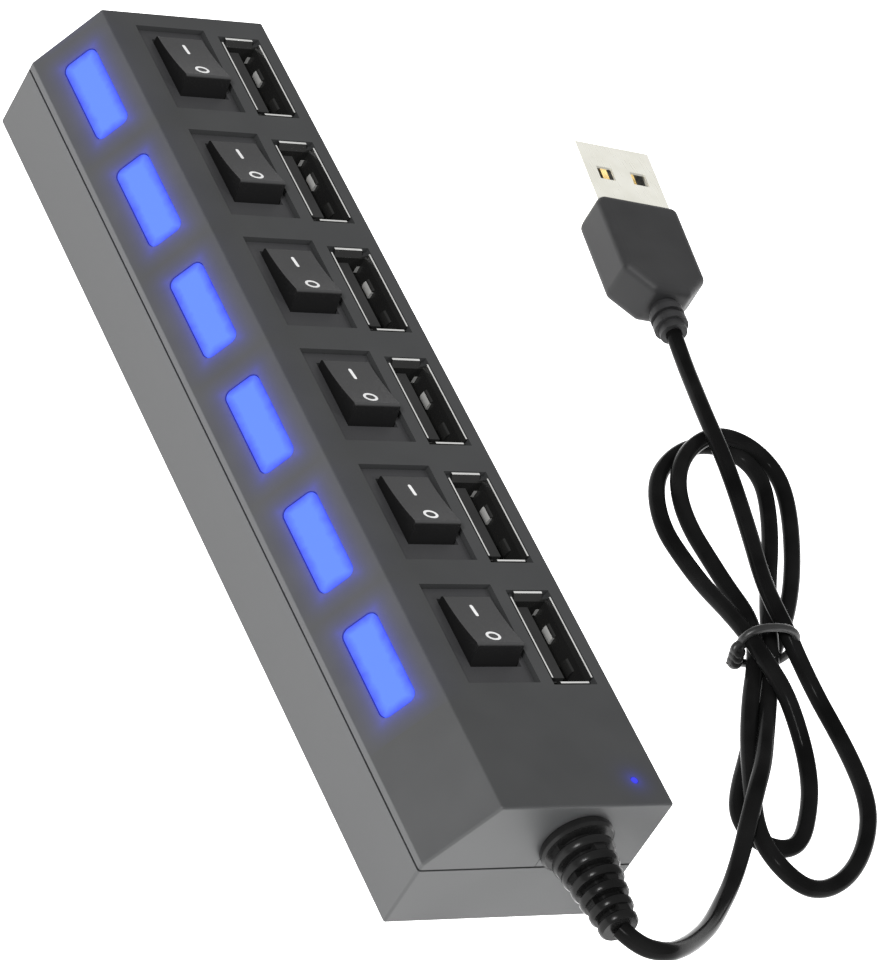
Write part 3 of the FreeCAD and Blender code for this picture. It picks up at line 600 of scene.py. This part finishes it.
def mark_object(name, outline_pairs, index):
    """Thin raised print on a rocker's top: pairs of inner and outer points round the mark."""
    joint = next(j for j in frame["joints"] if j["name"] == "rocker_tilt_%d" % index)
    pivot = Vector(joint["pos_m"])
    tilt = Matrix.Rotation(math.radians(-ROCKER_TILT), 4, "X")
    form = bmesh.new()
    rows = []
    for inner, outer in outline_pairs:
        row = []
        for (x, y), lift in ((inner, MARK_ROOT), (inner, MARK_RISE),
                             (outer, MARK_RISE), (outer, MARK_ROOT)):
            local = Vector((x, y, rocker_top(y, lift))) * MM
            row.append(form.verts.new(pivot + tilt @ local))
        rows.append(row)
    closed = rows + rows[:1]
    for first, second in zip(closed, closed[1:]):
        for side in range(4):
            after = (side + 1) % 4
            form.faces.new((first[side], first[after], second[after], second[side]))
    bmesh.ops.recalc_face_normals(form, faces=form.faces)
    piece = from_bmesh(name, form)
    piece.data.materials.append(MATERIALS["mark_white"])
    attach(piece, "rocker_body_%d" % index)


def directions(count):
    """Cosine and sine of evenly spread angles."""
    angles = [2 * math.pi * step / count for step in range(count)]
    return [(math.cos(angle), math.sin(angle)) for angle in angles]


def ring_outline(centre, half, line):
    """An oval drawn with a line of one width."""
    return [((centre[0] + (half[0] - line) * c, centre[1] + (half[1] - line) * s),
             (centre[0] + half[0] * c, centre[1] + half[1] * s)) for c, s in directions(32)]


def bar_outline(centre, half):
    """A filled bar with rounded ends, as a ring whose hole is a hairline."""
    pairs = []
    for c, s in directions(24):
        straight = (half[1] - half[0]) * (1 if s >= 0 else -1)
        pairs.append(((centre[0] + HAIRLINE * c, centre[1] + straight * 0.98),
                      (centre[0] + half[0] * c, centre[1] + straight + half[0] * s)))
    return pairs


def switch_marks():
    for index in range(1, PORTS + 1):
        mark_object("off_mark_%d" % index, ring_outline(OFF_AT, OFF_HALF, OFF_LINE), index)
        mark_object("on_mark_%d" % index, bar_outline(ON_AT, ON_HALF), index)


# ---------------------------------------------------------------- floor, light and camera
# The hub lies on a lit white table, which lights its upright faces more than its top.
FLOOR_HALF = 3.0
FLOOR_GLOW = 2.1
WORLD_LIGHT = 0.45
LIGHT_SIZE = 0.3
LIGHT_TARGET = (0.03, 0, 0)

# Camera: place (m), direction and roll (degrees), lens (mm).
CAMERA_AT = (-0.33319, -0.34613, 0.36801)
CAMERA_AZIMUTH = 45.72
CAMERA_ELEVATION = 36.28
CAMERA_ROLL = 32.6
CAMERA_LENS = 183.14


def studio():
    form = bmesh.new()
    bmesh.ops.create_grid(form, x_segments=1, y_segments=1, size=FLOOR_HALF)
    floor = from_bmesh("floor", form)
    material, tree, shader = start_material("floor_white")
    colour = colour_between(tree, noise(tree, 6.0), grey(0.84), grey(0.9))
    tree.links.new(colour, shader.inputs["Base Color"])
    tree.links.new(colour, shader.inputs["Emission Color"])
    shader.inputs["Emission Strength"].default_value = FLOOR_GLOW
    shader.inputs["Roughness"].default_value = 0.9
    floor.data.materials.append(material)
    world = bpy.data.worlds.new("studio")
    world.use_nodes = True
    background = world.node_tree.nodes["Background"]
    background.inputs["Color"].default_value = (1, 1, 1, 1)
    background.inputs["Strength"].default_value = WORLD_LIGHT
    bpy.context.scene.world = world
    bpy.context.scene.view_settings.view_transform = "Standard"


def soft_light(name, location, power, mirrored=True):
    """A round soft light; one that isn't mirrored leaves no spot on glossy surfaces."""
    lamp = bpy.data.lights.new(name, "AREA")
    lamp.shape = "DISK"
    lamp.size = LIGHT_SIZE
    lamp.energy = power
    holder = bpy.data.objects.new(name, lamp)
    holder.visible_glossy = mirrored
    holder.location = location
    aim = Vector(LIGHT_TARGET) - Vector(location)
    holder.rotation_euler = aim.to_track_quat("-Z", "Y").to_euler()
    bpy.context.collection.objects.link(holder)


def camera():
    azimuth = math.radians(CAMERA_AZIMUTH)
    elevation = math.radians(CAMERA_ELEVATION)
    forward = Vector((math.sin(azimuth) * math.cos(elevation),
                      math.cos(azimuth) * math.cos(elevation), -math.sin(elevation)))
    level = forward.to_track_quat("-Z", "Y")
    data = bpy.data.cameras.new("camera")
    data.lens = CAMERA_LENS
    data.sensor_width = 36.0
    data.clip_start = 0.01
    holder = bpy.data.objects.new("camera", data)
    holder.rotation_mode = "QUATERNION"
    holder.rotation_quaternion = Quaternion(forward, -math.radians(CAMERA_ROLL)) @ level
    holder.location = CAMERA_AT
    bpy.context.collection.objects.link(holder)
    bpy.context.scene.camera = holder


def main():
    make_materials()
    dress_frame()
    strain_relief_boot()
    usb_cord()
    twist_tie()
    switch_marks()
    studio()
    soft_light("key", (-0.9, -0.5, 0.9), 16)
    soft_light("fill", (0.7, -0.7, 0.8), 5, mirrored=False)
    camera()


main()
